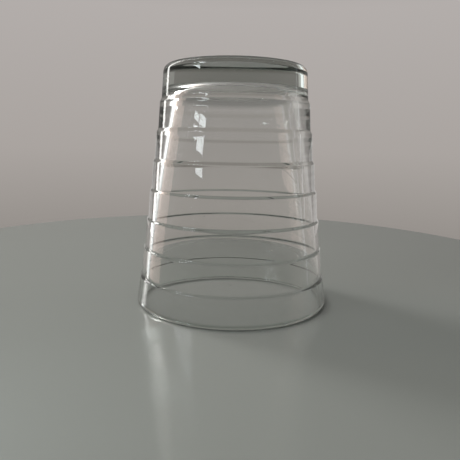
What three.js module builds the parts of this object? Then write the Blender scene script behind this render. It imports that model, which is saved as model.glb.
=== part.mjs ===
// Pressed drinking tumbler with stepped rings, standing mouth down on its rim.
// Millimetres, +Z up. The origin is the centre of the rim plane, and the base is on top.
// The glass is pressed in one piece. It is split here on two flat planes, so that the solid base,
// the hollow side wall and the rounded rim are simple bodies that meet face to face.
import * as THREE from "three";

// Overall form
const HEIGHT = 95.6; // rim plane to bearing ring
const RIM_RADIUS = 40; // outside of the mouth, before the lip is rounded
const FOOT_RADIUS = 28.4; // outside of the base, before the heel is rounded

// Rings: each band leans outwards and the next one, nearer the rim, stands proud of it by a step
const RING_COUNT = 7;
const RING_STEP = 0.6; // how far a band stands proud of the one above
const RING_LEDGE = 0.6; // height of the sloping ledge of the ring next to the rim
const LEDGE_GROWTH = 1; // how much higher and softer the ledge next to the base is
const RING_ROUND = 0.8; // rounding of a ledge's edge and of its root
const BASE_BAND = 13.75; // bearing plane to the uppermost ring
const RIM_BAND = 11.5; // rim plane to the lowest ring
const RIM_FLARE = 0.76; // extra outward lean of the band at the rim

// Thicknesses
const BASE_THICKNESS = 8.7;
const WALL_AT_FLOOR = 6.2;
const WALL_AT_RIM = 2.2;
const WALL_BOW = 1.16; // how far the inside of the wall bows outwards, halfway up

// Edges and roundings
const FLOOR_ROUND = 4; // inside corner between floor and wall
const HEEL_ROUND = 3.2; // outside edge of the base
const LIP_ROUND = 0.9; // both edges of the rim, which leave a narrow flat land
const RIM_HEIGHT = 3; // height of the rounded rim
const PUSH_UP_RADIUS = 24.6; // shallow dish under the base, inside the bearing ring
const PUSH_UP_DEPTH = 2;

// Fineness of the facets
const TURN_SEGMENTS = 64;
const ROUND_SEGMENTS = 2; // along a small rounding
const EDGE_SEGMENTS = 5; // along the heel, the lip and the inside corner
const DISH_SEGMENTS = 6;
const BOW_SEGMENTS = 8; // up the inside of the wall

// Worked out from the above
const floorHeight = HEIGHT - BASE_THICKNESS;
const ringPitch = (HEIGHT - BASE_BAND - RIM_BAND) / (RING_COUNT - 1);
const bandsSpread = RIM_RADIUS - RIM_FLARE - FOOT_RADIUS - RING_COUNT * RING_STEP;
const bandLean = bandsSpread / HEIGHT;
const innerFloorRadius = bandRadius(floorHeight, 0) - WALL_AT_FLOOR;
const innerRimRadius = RIM_RADIUS - WALL_AT_RIM;
const innerLean = (innerRimRadius - innerFloorRadius) / floorHeight;

// Outside radius of a band at a height, below so many of the rings counted from the base
function bandRadius(height, ringsAbove) {
  return FOOT_RADIUS + bandLean * (HEIGHT - height) + RING_STEP * ringsAbove;
}

// Outside radius of the flared band between the lowest ring and the lip
function rimBandRadius(height) {
  const top = RIM_BAND - RING_LEDGE / 2;
  const topRadius = bandRadius(top, RING_COUNT);
  return RIM_RADIUS + ((topRadius - RIM_RADIUS) * height) / top;
}

// Inside radius of the wall at a height: a straight cone with a shallow parabola added
function innerRadius(height) {
  const share = height / floorHeight;
  return innerRimRadius - innerLean * height + 4 * WALL_BOW * share * (1 - share);
}

function corner(radius, height, round = 0, segments = ROUND_SEGMENTS) {
  return { at: new THREE.Vector2(radius, height), round, segments };
}

// Points of an arc about a centre in the section plane, angles in radians
function arcPoints(centre, radius, start, end, segments) {
  const arc = new THREE.EllipseCurve(centre.x, centre.y, radius, radius, start, end, end < start);
  return arc.getPoints(segments);
}

// A corner of an outline, replaced by an arc that touches both of its sides
function roundedCorner(before, here, after) {
  const toBefore = before.at.clone().sub(here.at);
  const toAfter = after.at.clone().sub(here.at);
  const shortSide = Math.min(toBefore.length(), toAfter.length());
  toBefore.normalize();
  toAfter.normalize();
  const halfAngle = Math.acos(toBefore.dot(toAfter)) / 2;
  const setBack = Math.min(here.round / Math.tan(halfAngle), shortSide / 2);
  const radius = setBack * Math.tan(halfAngle);
  const middle = toBefore.clone().add(toAfter).normalize();
  const centre = here.at.clone().addScaledVector(middle, radius / Math.sin(halfAngle));
  const startSpoke = here.at.clone().addScaledVector(toBefore, setBack).sub(centre);
  const endSpoke = here.at.clone().addScaledVector(toAfter, setBack).sub(centre);
  const sweep = Math.atan2(startSpoke.cross(endSpoke), startSpoke.dot(endSpoke));
  const start = startSpoke.angle();
  return arcPoints(centre, radius, start, start + sweep, here.segments);
}

// The points of an open chain of corners, with each rounding worked out
function chain(corners) {
  return corners.flatMap((here, i) => {
    if (here.round === 0) return [here.at];
    return roundedCorner(corners[i - 1], here, corners[i + 1]);
  });
}

// A body of revolution about +Z from its section, listed anticlockwise with radius across and height up
function revolved(name, section) {
  const geometry = new THREE.LatheGeometry(section, TURN_SEGMENTS);
  geometry.rotateX(Math.PI / 2);
  const material = new THREE.MeshStandardMaterial({
    color: 0xdde5e1,
    roughness: 0.04,
    metalness: 0,
    transparent: true,
    opacity: 0.4,
  });
  const mesh = new THREE.Mesh(geometry, material);
  mesh.name = name;
  return mesh;
}

// Thick base: flat inner floor below, rounded heel, bearing ring and shallow dish on top
function base() {
  const outline = chain([
    corner(0, floorHeight),
    corner(bandRadius(floorHeight, 0), floorHeight),
    corner(FOOT_RADIUS, HEIGHT, HEEL_ROUND, EDGE_SEGMENTS),
    corner(PUSH_UP_RADIUS, HEIGHT),
  ]);
  const dishRadius = (PUSH_UP_RADIUS ** 2 + PUSH_UP_DEPTH ** 2) / (2 * PUSH_UP_DEPTH);
  const dishCentre = new THREE.Vector2(0, HEIGHT - PUSH_UP_DEPTH + dishRadius);
  const dishReach = Math.asin(PUSH_UP_RADIUS / dishRadius);
  const down = -Math.PI / 2;
  const dish = arcPoints(dishCentre, dishRadius, down + dishReach, down, DISH_SEGMENTS);
  const [, ...dishInside] = dish;
  dishInside.at(-1).x = 0;
  return revolved("base", [...outline, ...dishInside]);
}

// Side wall: stepped bands outside, a smooth bowed cone and the rounded corner to the floor inside
function sideWall() {
  const rings = Array.from({ length: RING_COUNT }, (_, i) => {
    const height = RIM_BAND + ringPitch * i;
    const ringsAbove = RING_COUNT - i;
    const ledge = RING_LEDGE + LEDGE_GROWTH * (i / (RING_COUNT - 1)) ** 2;
    const edge = height - ledge / 2;
    const root = height + ledge / 2;
    return [
      corner(bandRadius(edge, ringsAbove), edge, RING_ROUND),
      corner(bandRadius(root, ringsAbove - 1), root, RING_ROUND),
    ];
  });
  const outside = chain([
    corner(rimBandRadius(RIM_HEIGHT), RIM_HEIGHT),
    ...rings.flat(),
    corner(bandRadius(floorHeight, 0), floorHeight),
  ]);
  const wallAngle = Math.atan(innerLean + (4 * WALL_BOW) / floorHeight);
  const insideCorner = (Math.PI / 2 - wallAngle) / 2;
  const setBack = FLOOR_ROUND * Math.tan(insideCorner);
  const centre = new THREE.Vector2(innerFloorRadius - setBack, floorHeight - FLOOR_ROUND);
  const floorCorner = arcPoints(centre, FLOOR_ROUND, Math.PI / 2, wallAngle, EDGE_SEGMENTS);
  const wallTop = floorCorner.at(-1).y;
  const inside = Array.from({ length: BOW_SEGMENTS }, (_, i) => {
    const height = wallTop - ((wallTop - RIM_HEIGHT) * (i + 1)) / BOW_SEGMENTS;
    return new THREE.Vector2(innerRadius(height), height);
  });
  return revolved("side_wall", [...outside, ...floorCorner, ...inside, outside[0]]);
}

// Rim: the rounded lip that the glass stands on
function rim() {
  const section = chain([
    corner(innerRadius(RIM_HEIGHT), RIM_HEIGHT),
    corner(innerRimRadius, 0, LIP_ROUND, EDGE_SEGMENTS),
    corner(RIM_RADIUS, 0, LIP_ROUND, EDGE_SEGMENTS),
    corner(rimBandRadius(RIM_HEIGHT), RIM_HEIGHT),
  ]);
  return revolved("rim", [...section, section[0]]);
}

const tumbler = new THREE.Group();
tumbler.add(base(), sideWall(), rim());

export default tumbler;
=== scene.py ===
import math

import bmesh
import bpy
from mathutils import Matrix, Vector


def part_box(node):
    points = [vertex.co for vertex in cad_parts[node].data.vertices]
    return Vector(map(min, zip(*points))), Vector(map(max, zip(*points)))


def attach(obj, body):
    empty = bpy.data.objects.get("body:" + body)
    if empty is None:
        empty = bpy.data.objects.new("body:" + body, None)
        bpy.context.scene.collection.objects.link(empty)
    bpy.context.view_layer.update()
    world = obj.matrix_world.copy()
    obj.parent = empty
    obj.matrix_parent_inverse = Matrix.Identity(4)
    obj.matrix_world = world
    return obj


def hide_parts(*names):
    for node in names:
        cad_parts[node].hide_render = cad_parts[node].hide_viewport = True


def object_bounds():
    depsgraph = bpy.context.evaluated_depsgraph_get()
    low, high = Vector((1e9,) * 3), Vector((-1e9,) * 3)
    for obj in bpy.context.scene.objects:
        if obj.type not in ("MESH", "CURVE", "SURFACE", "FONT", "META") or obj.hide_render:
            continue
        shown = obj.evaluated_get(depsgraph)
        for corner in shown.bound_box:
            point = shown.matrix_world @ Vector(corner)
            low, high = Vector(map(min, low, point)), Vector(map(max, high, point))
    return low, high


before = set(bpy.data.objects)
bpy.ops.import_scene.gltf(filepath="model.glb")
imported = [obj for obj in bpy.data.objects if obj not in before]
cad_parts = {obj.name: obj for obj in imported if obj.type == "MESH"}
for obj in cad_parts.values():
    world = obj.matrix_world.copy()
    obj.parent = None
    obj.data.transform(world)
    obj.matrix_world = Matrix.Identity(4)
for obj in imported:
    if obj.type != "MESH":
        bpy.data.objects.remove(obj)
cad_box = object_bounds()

MM = 0.001

# Sizes of the tumbler that the solids give
cad_low, cad_high = cad_box
base_low, base_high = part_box("base")
HEIGHT = cad_high.z - cad_low.z
BASE_THICKNESS = base_high.z - base_low.z

# The rest of its driving sizes, each under the name of its input in the node tree
TUMBLER_LENGTHS = {
    "Height": HEIGHT,
    "Rim Radius": 40 * MM,
    "Foot Radius": 28.4 * MM,
    "Ring Step": 0.6 * MM,
    "Ring Ledge": 0.6 * MM,
    "Ledge Growth": 1 * MM,
    "Ring Round": 0.8 * MM,
    "Base Band": 13.75 * MM,
    "Rim Band": 11.5 * MM,
    "Rim Flare": 0.76 * MM,
    "Base Thickness": BASE_THICKNESS,
    "Wall At Floor": 6.2 * MM,
    "Wall At Rim": 2.2 * MM,
    "Wall Bow": 1.16 * MM,
    "Floor Round": 4 * MM,
    "Heel Round": 3.2 * MM,
    "Lip Round": 0.9 * MM,
    "Dish Radius": 24.6 * MM,
    "Dish Depth": 2 * MM,
    "Dish Round": 3 * MM,
}
TUMBLER_COUNTS = {
    "Ring Count": 7,
    "Facets Around": 240,
}

# The grainy underside of the base, and the heel that standing has worn
GRAIN_RADIUS = 26.2 * MM
GRAIN_ROUGHNESS = 0.34
WORN_DEPTH = 2.4 * MM
WORN_ROUGHNESS = 0.12

# The rest of the glass
GLASS_IOR = 1.52
GLASS_COLOUR = (0.945, 0.95, 0.94, 1)
BODY_COLOUR = (0.60, 0.63, 0.61, 1)
BODY_DENSITY = 40
# The lip's colour is darker at its foot, as painted shade where it meets the floor
LIP_PAINTED_SHADE_COLOUR = (0.52, 0.57, 0.54, 1)
LIP_PAINTED_SHADE_LOW = 0.9 * MM  # full painted shade below this height
LIP_PAINTED_SHADE_HIGH = 1.5 * MM  # none above this one
LIP_SHADE = 0.25  # how much of a lamp's light one surface lets through at the lip
WALL_SHADE = 0.945  # and above it
LIP_SHADE_HEIGHT = 3 * MM
SMEAR_SCALE = 45
SMEAR_SPAN = (0.45, 0.75)  # of the noise, from clean to smeared
SMEAR_ROUGHNESS = 0.03
RIPPLE_SCALE = 65
RIPPLE_HEIGHT = 0.012 * MM
SPECK_SCALE = 210
SPECK_SPAN = (0.04, 0.11)  # of a cell, from a speck's full height to its foot
SPECK_SHARE = 0.2  # of the places where a speck could be
SPECK_HEIGHT = 0.03 * MM

# Fineness of the section
CORNERS_PER_RING = 4  # a support on each band, the ledge's edge and its root
DISH_FACETS = 12
WALL_FACETS = 16  # along the bowed inside of the wall
FACETS_PER_LENGTH = 6 / MM  # along a rounding, for each length of its radius
SUPPORT_GAP = 0.2 * MM  # from the end of a rounding to the point that keeps the next face flat
WELD_GAP = 0.002 * MM

# The photograph's camera, fitted to the rim, the rings and the top of the base
PHOTO_PIXELS = 460
FOCAL_PIXELS = 486.5
SENSOR_WIDTH = 36
CAMERA_PLACE = Vector((-1.02, -202.9, 66.2)) * MM
CAMERA_PITCH = math.radians(10.34)
CAMERA_ROLL = math.radians(1.05)
CAMERA_NEAREST = 5 * MM

# The stage
FLOOR_RADIUS = 196 * MM
FLOOR_MIDDLE = Vector((-8, 42, 0)) * MM
FLOOR_GAP = 0.05 * MM  # air under the rim, so that two faces never share a plane
FLOOR_FACETS = 256
FLOOR_COLOUR = (0.286, 0.302, 0.281, 1)
FLOOR_ROUGHNESS = 0.16
FLOOR_GLOSS = 0.36
# The backdrop's colours, each at its elevation in degrees
BACKDROP_COLOURS = [
    (-14, (0.26, 0.24, 0.22, 1)),
    (-1, (0.40, 0.37, 0.35, 1)),
    (14, (0.45, 0.42, 0.405, 1)),
    (32, (0.29, 0.275, 0.265, 1)),
]
BACKDROP_LOW = math.sin(math.radians(BACKDROP_COLOURS[0][0]))
BACKDROP_HIGH = math.sin(math.radians(BACKDROP_COLOURS[-1][0]))
ROOM_COLOUR = (0.05, 0.05, 0.05, 1)
SHEEN = 0.32  # how much of the backdrop shows in reflections
FRONT_STRENGTH = 0.5  # how bright the room is on the camera's side
FRONT_SPAN = (-0.5, 0.3)  # of a direction's depth, from that side to the far one
PANE_DISTANCE = 1.5
OVERHEAD_SIZE = 1.4
OVERHEAD_HEIGHT = 0.9
OVERHEAD_BRIGHTNESS = 0.25
WHITE = (1, 0.985, 0.96)
DAYLIGHT = (0.9, 0.96, 1)
ROSE = (1, 0.77, 0.68)


class Amount:
    """A number in a node tree, so that a rule reads as a formula and becomes Math nodes."""

    def __init__(self, socket):
        self.socket = socket

    def joined(self, operation, *operands):
        tree = self.socket.id_data
        return Amount(place(tree, "ShaderNodeMath", *operands, operation=operation).outputs[0])

    def __add__(self, other):
        return self.joined("ADD", self, other)

    def __sub__(self, other):
        return self.joined("SUBTRACT", self, other)

    def __rsub__(self, other):
        return self.joined("SUBTRACT", other, self)

    def __mul__(self, other):
        return self.joined("MULTIPLY", self, other)

    def __truediv__(self, other):
        return self.joined("DIVIDE", self, other)

    def __mod__(self, other):
        return self.joined("MODULO", self, other)

    def __gt__(self, other):
        return self.joined("GREATER_THAN", self, other)

    def __lt__(self, other):
        return self.joined("LESS_THAN", self, other)

    def whole(self):
        return self.joined("FLOOR", self)

    def root(self):
        return self.joined("SQRT", self)

    def at_least(self, other):
        return self.joined("MAXIMUM", self, other)


def feed(socket, value):
    """Links a socket to another, or sets it to a plain value."""
    if isinstance(value, Amount):
        value = value.socket
    if isinstance(value, bpy.types.NodeSocket):
        socket.id_data.links.new(value, socket)
    else:
        socket.default_value = value


def place(tree, kind, *values, **options):
    """A new node with its options set and its inputs fed in order. None leaves an input alone."""
    made = tree.nodes.new(kind)
    for option, value in options.items():
        setattr(made, option, value)
    for socket, value in zip(made.inputs, values):
        if value is not None:
            feed(socket, value)
    return made


def ranged(tree, value, start, end, low, high, **options):
    """A value carried over from one range to another, and held at its ends."""
    made = place(tree, "ShaderNodeMapRange", value, start, end, low, high, **options)
    return Amount(made.outputs["Result"])


def chosen(tree, index, values):
    """The value that stands at an index in a short list, and nothing outside the list."""
    switch = place(tree, "GeometryNodeIndexSwitch", data_type="FLOAT")
    while len(switch.index_switch_items) < len(values):
        switch.index_switch_items.new()
    feed(switch.inputs["Index"], index)
    for number, value in enumerate(values):
        feed(switch.inputs[number + 1], value)
    return Amount(switch.outputs[0])


def tumbler_section(tree, size, rings):
    """The half section from the inner floor, over the lip and up the rings, to the middle of the dish."""
    floor = size("Height") - size("Base Thickness")
    ring_pitch = (size("Height") - size("Base Band") - size("Rim Band")) / (rings - 1)
    steps = size("Ring Step") * rings
    lean = (size("Rim Radius") - size("Rim Flare") - size("Foot Radius") - steps) / size("Height")
    inner_floor = size("Foot Radius") + lean * size("Base Thickness") - size("Wall At Floor")
    inner_rim = size("Rim Radius") - size("Wall At Rim")
    inner_lean = (inner_rim - inner_floor) / floor
    flare_height = size("Rim Band") - size("Ring Ledge") / 2
    lip_reach = size("Lip Round") + SUPPORT_GAP
    floor_reach = size("Floor Round") + SUPPORT_GAP
    heel_reach = size("Heel Round") + SUPPORT_GAP

    def outside(height, rings_above):
        flare = size("Rim Flare") * (1 - height / flare_height).at_least(0)
        leaning = size("Foot Radius") + lean * (size("Height") - height)
        return leaning + size("Ring Step") * rings_above + flare

    def inside(height):
        along = height / floor
        return inner_rim - inner_lean * height + size("Wall Bow") * 4 * along * (1 - along)

    wall = []
    for share in range(WALL_FACETS + 1):
        height = floor - floor_reach - (floor - floor_reach - lip_reach) * (share / WALL_FACETS)
        wall.append((inside(height), height, 0))
    # Corners before the rings, each with its radius, its height and its rounding
    first = [
        (0, floor, 0),
        (inner_floor - floor_reach, floor, 0),
        (inner_floor, floor, size("Floor Round")),
        *wall,
        (inner_rim, 0, size("Lip Round")),
        (size("Rim Radius"), 0, size("Lip Round")),
        (outside(lip_reach, rings), lip_reach, 0),
    ]
    # Corners after the rings, up to the start of the dish
    heel_foot = size("Height") - heel_reach
    last = [
        (outside(heel_foot, 0), heel_foot, 0),
        (size("Foot Radius"), size("Height"), size("Heel Round")),
        (size("Foot Radius") - heel_reach, size("Height"), 0),
    ]

    index = Amount(place(tree, "GeometryNodeInputIndex").outputs[0])
    ring_corners = rings * CORNERS_PER_RING
    in_rings = index - len(first)
    after_rings = in_rings - ring_corners
    in_dish = after_rings - len(last)
    is_ring = (in_rings > -0.5) * (after_rings < -0.5)
    is_dish = in_dish > -0.5

    ring = (in_rings / CORNERS_PER_RING).whole()
    corner = in_rings % CORNERS_PER_RING
    towards_base = ring / (rings - 1)
    half_ledge = (size("Ring Ledge") + size("Ledge Growth") * towards_base * towards_base) / 2
    past_ledge = half_ledge + size("Ring Round") / 2 + SUPPORT_GAP
    below_ledge = chosen(tree, corner, [0 - past_ledge, 0 - half_ledge, half_ledge, past_ledge])
    is_rounded = chosen(tree, corner, [0, 1, 1, 0])
    rings_above = rings - ring - (corner > 1.5)
    ring_height = size("Rim Band") + ring_pitch * ring + below_ledge

    inwards = 1 - in_dish / DISH_FACETS
    dish_height = size("Height") - size("Dish Depth") * (1 - inwards * inwards)

    radius = (
        chosen(tree, index, [radius for radius, _, _ in first])
        + is_ring * outside(ring_height, rings_above)
        + chosen(tree, after_rings, [radius for radius, _, _ in last])
        + is_dish * size("Dish Radius") * inwards
    )
    height = (
        chosen(tree, index, [height for _, height, _ in first])
        + is_ring * ring_height
        + chosen(tree, after_rings, [height for _, height, _ in last])
        + is_dish * dish_height
    )
    rounding = (
        chosen(tree, index, [rounding for _, _, rounding in first])
        + is_ring * is_rounded * size("Ring Round")
        + chosen(tree, after_rings, [rounding for _, _, rounding in last])
        + is_dish * (in_dish < 0.5) * size("Dish Round")
    )
    total = ring_corners + (len(first) + len(last) + DISH_FACETS + 1)
    spot = place(tree, "ShaderNodeCombineXYZ", radius, 0, height)
    corners = place(tree, "GeometryNodePoints", total, spot.outputs[0])
    chain = place(tree, "GeometryNodePointsToCurves", corners.outputs[0])
    rounded = place(tree, "GeometryNodeFilletCurve", chain.outputs[0], mode="POLY")
    feed(rounded.inputs["Count"], rounding * FACETS_PER_LENGTH)
    feed(rounded.inputs["Radius"], rounding)
    feed(rounded.inputs["Limit Radius"], True)
    return place(tree, "GeometryNodeCurveToMesh", rounded.outputs[0]).outputs[0]


def turned_about_axis(tree, section, around):
    """A closed skin: the section stands at each step of a full turn, and its ends meet on the axis."""
    points = Amount(place(tree, "GeometryNodeAttributeDomainSize", section).outputs["Point Count"])
    grid = place(tree, "GeometryNodeMeshGrid")
    feed(grid.inputs["Vertices X"], around + 1)
    feed(grid.inputs["Vertices Y"], points)
    index = Amount(place(tree, "GeometryNodeInputIndex").outputs[0])
    position = place(tree, "GeometryNodeInputPosition").outputs[0]
    spot = place(tree, "GeometryNodeSampleIndex", section, data_type="FLOAT_VECTOR")
    feed(spot.inputs["Value"], position)
    feed(spot.inputs["Index"], index % points)
    turn = place(tree, "ShaderNodeVectorRotate", spot.outputs[0], rotation_type="Z_AXIS")
    feed(turn.inputs["Angle"], (index / points).whole() / around * math.tau)
    skin = place(tree, "GeometryNodeSetPosition", grid.outputs["Mesh"])
    feed(skin.inputs["Position"], turn.outputs[0])
    welded = place(tree, "GeometryNodeMergeByDistance", skin.outputs[0])
    feed(welded.inputs["Distance"], WELD_GAP)
    return welded.outputs[0]


def tumbler_tree():
    """The rule of the tumbler: one section with rounded corners, turned once about the axis."""
    tree = bpy.data.node_groups.new("stepped_tumbler", "GeometryNodeTree")
    for name in TUMBLER_LENGTHS:
        tree.interface.new_socket(name, in_out="INPUT", socket_type="NodeSocketFloat")
    for name in TUMBLER_COUNTS:
        tree.interface.new_socket(name, in_out="INPUT", socket_type="NodeSocketInt")
    tree.interface.new_socket("Glass", in_out="INPUT", socket_type="NodeSocketMaterial")
    tree.interface.new_socket("Tumbler", in_out="OUTPUT", socket_type="NodeSocketGeometry")
    given = place(tree, "NodeGroupInput")

    def size(name):
        return Amount(given.outputs[name])

    section = tumbler_section(tree, size, rings=size("Ring Count"))
    skin = turned_about_axis(tree, section, size("Facets Around"))
    smooth = place(tree, "GeometryNodeSetShadeSmooth", skin)
    real = place(tree, "GeometryNodeRealizeInstances", smooth.outputs[0])
    glazed = place(tree, "GeometryNodeSetMaterial", real.outputs[0])
    feed(glazed.inputs["Material"], given.outputs["Glass"])
    place(tree, "NodeGroupOutput", glazed.outputs[0])
    return tree


def pressed_tumbler(material):
    """The whole glass as one closed mesh, from its node tree."""
    tree = tumbler_tree()
    piece = bpy.data.objects.new("tumbler", bpy.data.meshes.new("tumbler"))
    bpy.context.collection.objects.link(piece)
    modifier = piece.modifiers.new("stepped_tumbler", "NODES")
    modifier.node_group = tree
    values = {**TUMBLER_LENGTHS, **TUMBLER_COUNTS, "Glass": material}
    for item in tree.interface.items_tree:
        if item.in_out == "INPUT":
            modifier[item.identifier] = values[item.name]
    made = piece.evaluated_get(bpy.context.evaluated_depsgraph_get())
    mesh = bpy.data.meshes.new_from_object(made)
    piece.modifiers.clear()
    piece.data = mesh
    return piece


def clear_pressed_glass():
    """Clear glass with a faint grey-green body, wiped smears and a few dried specks of water."""
    material = bpy.data.materials.new("clear_pressed_glass")
    material.use_nodes = True
    tree = material.node_tree
    tree.nodes.clear()
    spot = place(tree, "ShaderNodeTexCoord").outputs["Object"]
    across, deep, height = map(Amount, place(tree, "ShaderNodeSeparateXYZ", spot).outputs)

    # Wiped smears all over, a worn heel, and the fine grain of the mould in the dish
    smears = place(tree, "ShaderNodeTexNoise", spot)
    feed(smears.inputs["Scale"], SMEAR_SCALE)
    feed(smears.inputs["Detail"], 3)
    dullness = ranged(tree, smears.outputs["Fac"], *SMEAR_SPAN, 0, SMEAR_ROUGHNESS)
    radius = (across * across + deep * deep).root()
    on_underside = height > HEIGHT - WORN_DEPTH
    in_dish = on_underside * (radius < GRAIN_RADIUS)
    roughness = in_dish * GRAIN_ROUGHNESS + on_underside * WORN_ROUGHNESS + dullness

    # Fine ripples from the mould, and specks of water that have dried on
    ripples = place(tree, "ShaderNodeTexNoise", spot)
    feed(ripples.inputs["Scale"], RIPPLE_SCALE)
    feed(ripples.inputs["Detail"], 1)
    cells = place(tree, "ShaderNodeTexVoronoi", spot)
    feed(cells.inputs["Scale"], SPECK_SCALE)
    lottery, _, _ = map(Amount, place(tree, "ShaderNodeSeparateColor", cells.outputs["Color"]).outputs)
    from_middle = cells.outputs["Distance"]
    speck = ranged(tree, from_middle, *SPECK_SPAN, SPECK_HEIGHT, 0, interpolation_type="SMOOTHSTEP")
    relief = Amount(ripples.outputs["Fac"]) * RIPPLE_HEIGHT + (lottery > 1 - SPECK_SHARE) * speck
    bump = place(tree, "ShaderNodeBump")
    feed(bump.inputs["Distance"], 1)
    feed(bump.inputs["Height"], relief)

    # Painted shade along the lip: its colour darkens towards the bottom, where it stands on the floor
    above_lip_shade = ranged(tree, height, LIP_PAINTED_SHADE_LOW, LIP_PAINTED_SHADE_HIGH, 0, 1)
    painted_lip_shade = place(tree, "ShaderNodeMix", above_lip_shade, data_type="RGBA")
    feed(painted_lip_shade.inputs[6], LIP_PAINTED_SHADE_COLOUR)
    feed(painted_lip_shade.inputs[7], GLASS_COLOUR)

    glass = place(tree, "ShaderNodeBsdfPrincipled")
    feed(glass.inputs["Base Color"], painted_lip_shade.outputs[2])
    feed(glass.inputs["Normal"], bump.outputs[0])
    feed(glass.inputs["Roughness"], roughness)
    feed(glass.inputs["IOR"], GLASS_IOR)
    feed(glass.inputs["Transmission Weight"], 1)

    # A lamp shines through the walls instead of leaving a black shadow
    let_through = ranged(tree, height, 0, LIP_SHADE_HEIGHT, LIP_SHADE, WALL_SHADE)
    shine_through = place(tree, "ShaderNodeBsdfTransparent", let_through)
    path = place(tree, "ShaderNodeLightPath")
    surface = place(tree, "ShaderNodeMixShader", path.outputs["Is Shadow Ray"])
    feed(surface.inputs[1], glass.outputs[0])
    feed(surface.inputs[2], shine_through.outputs[0])

    body = place(tree, "ShaderNodeVolumeAbsorption", BODY_COLOUR, BODY_DENSITY)
    place(tree, "ShaderNodeOutputMaterial", surface.outputs[0], body.outputs[0])
    return material


def satin_floor():
    """A plain round floor in a satin grey-green."""
    material = bpy.data.materials.new("satin_floor")
    material.use_nodes = True
    paint = material.node_tree.nodes["Principled BSDF"]
    feed(paint.inputs["Base Color"], FLOOR_COLOUR)
    feed(paint.inputs["Roughness"], FLOOR_ROUGHNESS)
    feed(paint.inputs["Specular IOR Level"], FLOOR_GLOSS)
    disc = bmesh.new()
    bmesh.ops.create_circle(disc, cap_ends=True, segments=FLOOR_FACETS, radius=FLOOR_RADIUS)
    bmesh.ops.translate(disc, verts=disc.verts, vec=FLOOR_MIDDLE - Vector((0, 0, FLOOR_GAP)))
    mesh = bpy.data.meshes.new("floor")
    disc.to_mesh(mesh)
    disc.free()
    mesh.materials.append(material)
    floor = bpy.data.objects.new("floor", mesh)
    bpy.context.collection.objects.link(floor)


def backdrop_mark(mark):
    """Where a colour of the backdrop stands in its ramp, from its elevation in degrees."""
    elevation, colour = mark
    return (math.sin(math.radians(elevation)) - BACKDROP_LOW) / (BACKDROP_HIGH - BACKDROP_LOW), colour


def studio_room():
    """A warm grey backdrop, lightest above the horizon, for what is seen, and a dim even room for what is lit."""
    world = bpy.data.worlds.new("studio_room")
    world.use_nodes = True
    bpy.context.scene.world = world
    tree = world.node_tree
    tree.nodes.clear()
    path = place(tree, "ShaderNodeLightPath")
    camera = Amount(path.outputs["Is Camera Ray"])
    glossy = Amount(path.outputs["Is Glossy Ray"])
    through = Amount(path.outputs["Is Transmission Ray"])
    seen = camera.at_least(through).at_least(glossy * SHEEN)
    direction = place(tree, "ShaderNodeTexCoord").outputs["Generated"]
    _, depth, rise = place(tree, "ShaderNodeSeparateXYZ", direction).outputs
    shade = ranged(tree, rise, BACKDROP_LOW, BACKDROP_HIGH, 0, 1)
    backdrop = place(tree, "ShaderNodeValToRGB", shade)
    marks = backdrop.color_ramp.elements
    marks[0].color = BACKDROP_COLOURS[0][1]
    marks[1].position, marks[1].color = backdrop_mark(BACKDROP_COLOURS[-1])
    for mark in BACKDROP_COLOURS[1:-1]:
        position, colour = backdrop_mark(mark)
        marks.new(position).color = colour
    colour = place(tree, "ShaderNodeMix", seen, data_type="RGBA")
    feed(colour.inputs[6], ROOM_COLOUR)
    feed(colour.inputs[7], backdrop.outputs[0])
    strength = ranged(tree, depth, *FRONT_SPAN, FRONT_STRENGTH, 1)
    light = place(tree, "ShaderNodeBackground", colour.outputs[2], strength)
    place(tree, "ShaderNodeOutputWorld", light.outputs[0])


def area_lamp(name, across, along, brightness, colour, hidden_from):
    """A lamp of an even brightness, which the camera and the other kinds of ray named here do not see."""
    lamp = bpy.data.lights.new(name, "AREA")
    lamp.shape = "RECTANGLE"
    lamp.size = across
    lamp.size_y = along
    lamp.color = colour
    lamp.energy = brightness * math.pi * lamp.size * lamp.size_y
    holder = bpy.data.objects.new(name, lamp)
    holder.visible_camera = False
    holder.visible_diffuse = "diffuse" not in hidden_from
    holder.visible_glossy = "glossy" not in hidden_from
    holder.visible_transmission = "transmission" not in hidden_from
    bpy.context.collection.objects.link(holder)
    return holder


def soft_box(name, left, width, low, high, distance, brightness, colour, hidden_from=()):
    """A soft light that faces the glass. Its angles are seen from the glass, left of the camera, in degrees."""
    turn = math.radians(left)
    towards = Vector((-math.sin(turn), -math.cos(turn), 0))
    middle = Vector((0, 0, HEIGHT / 2))
    bottom = distance * math.tan(math.radians(low))
    top = distance * math.tan(math.radians(high))
    across = 2 * distance * math.tan(math.radians(width / 2))
    holder = area_lamp(name, across, top - bottom, brightness, colour, hidden_from)
    holder.location = middle + towards * distance + Vector((0, 0, (top + bottom) / 2))
    holder.rotation_euler = towards.to_track_quat("Z", "Y").to_euler()
    return holder


def pane(name, left, width, low, high, brightness, hidden_from=()):
    """A small soft light of the group in front on the left, which shows as a bright patch in the glass."""
    soft_box(name, left, width, low, high, PANE_DISTANCE, brightness, DAYLIGHT, hidden_from)


def glow_on_floor(name, start, end, width, height, spread, brightness):
    """A lamp close over the floor, which lights it between two places on it, in millimetres."""
    start = Vector((*start, 0)) * MM
    end = Vector((*end, 0)) * MM
    along = end - start
    hidden_from = ("glossy", "transmission")
    holder = area_lamp(name, along.length, width * MM, brightness, DAYLIGHT, hidden_from)
    holder.data.spread = math.radians(spread)
    holder.location = (start + end) / 2 + Vector((0, 0, height * MM))
    holder.rotation_euler = (0, 0, math.atan2(along.y, along.x))


def sampled_directly(lamp):
    """Lights the floor from a lamp only by aiming at it, which leaves no bright specks in the glass."""
    lamp.data.cycles.use_multiple_importance_sampling = False


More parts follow.
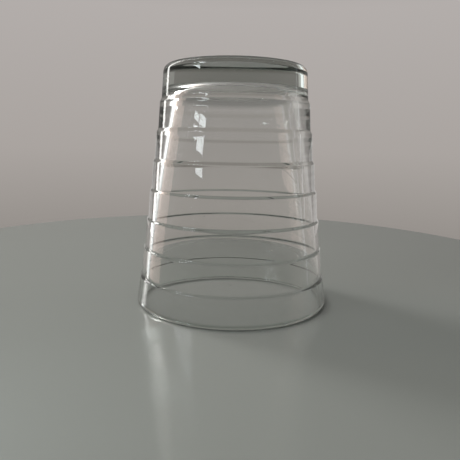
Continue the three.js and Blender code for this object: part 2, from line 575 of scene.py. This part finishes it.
def studio_lights():
    """Tall strips behind on the left, pale panels round the back, small panes and the lamps for the floor."""
    soft_box(
        "edge_strip", left=129, width=7, low=-25, high=62,
        distance=1.2, brightness=5, colour=WHITE, hidden_from=("transmission",),
    )
    soft_box(
        "core_strip", left=129, width=7, low=-30, high=62,
        distance=1.3, brightness=1.7, colour=DAYLIGHT, hidden_from=("glossy",),
    )
    soft_box(
        "halo", left=128, width=18, low=-30, high=62,
        distance=1.4, brightness=0.6, colour=WHITE, hidden_from=("glossy",),
    )
    soft_box(
        "warm_panel", left=112, width=24, low=-30, high=50,
        distance=1.2, brightness=1.6, colour=ROSE, hidden_from=("glossy",),
    )
    pane("left_pane", left=70, width=9.2, low=31.4, high=33, brightness=14)
    pane("right_pane", left=57.3, width=12.2, low=31, high=33.6, brightness=15)
    pane("left_low", left=70, width=9.2, low=27.8, high=30.4, brightness=13)
    pane("right_low", left=57.3, width=12.2, low=26.2, high=30.4, brightness=14)
    pane("sill", left=54, width=12, low=21.7, high=23.3, brightness=11)
    pane("base_dash", left=62, width=12, low=16.1, high=16.7, brightness=12, hidden_from=("transmission",))
    pane("upper_bar", left=60, width=20, low=36.1, high=36.4, brightness=13)
    pane("top_bar", left=60, width=20, low=37.1, high=37.6, brightness=13)
    soft_box(
        "right_strip", left=-108, width=2.5, low=-5, high=40,
        distance=1.2, brightness=1.1, colour=DAYLIGHT,
    )
    soft_box(
        "right_panel", left=-126, width=28, low=-8, high=40,
        distance=1.3, brightness=0.2, colour=WHITE, hidden_from=("glossy",),
    )
    # These two lighten the outline on either side
    soft_box(
        "right_edge", left=-155, width=36, low=-16, high=2,
        distance=1.4, brightness=0.5, colour=WHITE, hidden_from=("transmission",),
    )
    soft_box(
        "left_edge", left=158, width=36, low=-16, high=2,
        distance=1.5, brightness=0.45, colour=WHITE, hidden_from=("transmission",),
    )
    key = soft_box(
        "key", left=131, width=18, low=28, high=42,
        distance=0.8, brightness=36, colour=WHITE, hidden_from=("glossy", "transmission"),
    )
    sampled_directly(key)
    soft_box(
        "base_light", left=127, width=18, low=28, high=42,
        distance=0.9, brightness=15, colour=WHITE, hidden_from=("glossy", "diffuse"),
    )
    side = soft_box(
        "side", left=96, width=36, low=22, high=42,
        distance=0.22, brightness=2.1, colour=WHITE, hidden_from=("glossy",),
    )
    sampled_directly(side)
    # A streak beside the rim, its tail, and a broad glow at the near left
    glow_on_floor("glow", (-28.5, -38), (-26, -49), width=2, height=12, spread=40, brightness=0.8)
    glow_on_floor("glow_tail", (-28.5, -38), (-17, -88), width=2, height=14, spread=40, brightness=0.42)
    glow_on_floor("floor_left", (-95, -95), (-95, -155), width=60, height=60, spread=180, brightness=1.6)
    overhead = area_lamp(
        "overhead", OVERHEAD_SIZE, OVERHEAD_SIZE, OVERHEAD_BRIGHTNESS, WHITE, hidden_from=("glossy",),
    )
    overhead.location = (0, 0, OVERHEAD_HEIGHT)
    sampled_directly(overhead)


def photo_camera():
    """The camera where the photograph was taken, with its tilt and its slight roll."""
    camera = bpy.data.cameras.new("photo_camera")
    camera.sensor_width = SENSOR_WIDTH
    camera.lens = FOCAL_PIXELS / PHOTO_PIXELS * SENSOR_WIDTH
    camera.clip_start = CAMERA_NEAREST
    holder = bpy.data.objects.new("photo_camera", camera)
    tilt = Matrix.Rotation(math.radians(90) - CAMERA_PITCH, 4, "X")
    holder.matrix_world = Matrix.Translation(CAMERA_PLACE) @ tilt @ Matrix.Rotation(CAMERA_ROLL, 4, "Z")
    bpy.context.collection.objects.link(holder)
    bpy.context.scene.camera = holder


photo_camera()
tumbler = pressed_tumbler(clear_pressed_glass())
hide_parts("base", "side_wall", "rim")
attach(tumbler, "root")
satin_floor()
studio_room()
studio_lights()

scene = bpy.context.scene
scene.view_settings.view_transform = "Standard"
scene.cycles.max_bounces = 24
scene.cycles.glossy_bounces = 16
scene.cycles.transmission_bounces = 24
scene.cycles.caustics_refractive = False
scene.cycles.caustics_reflective = False
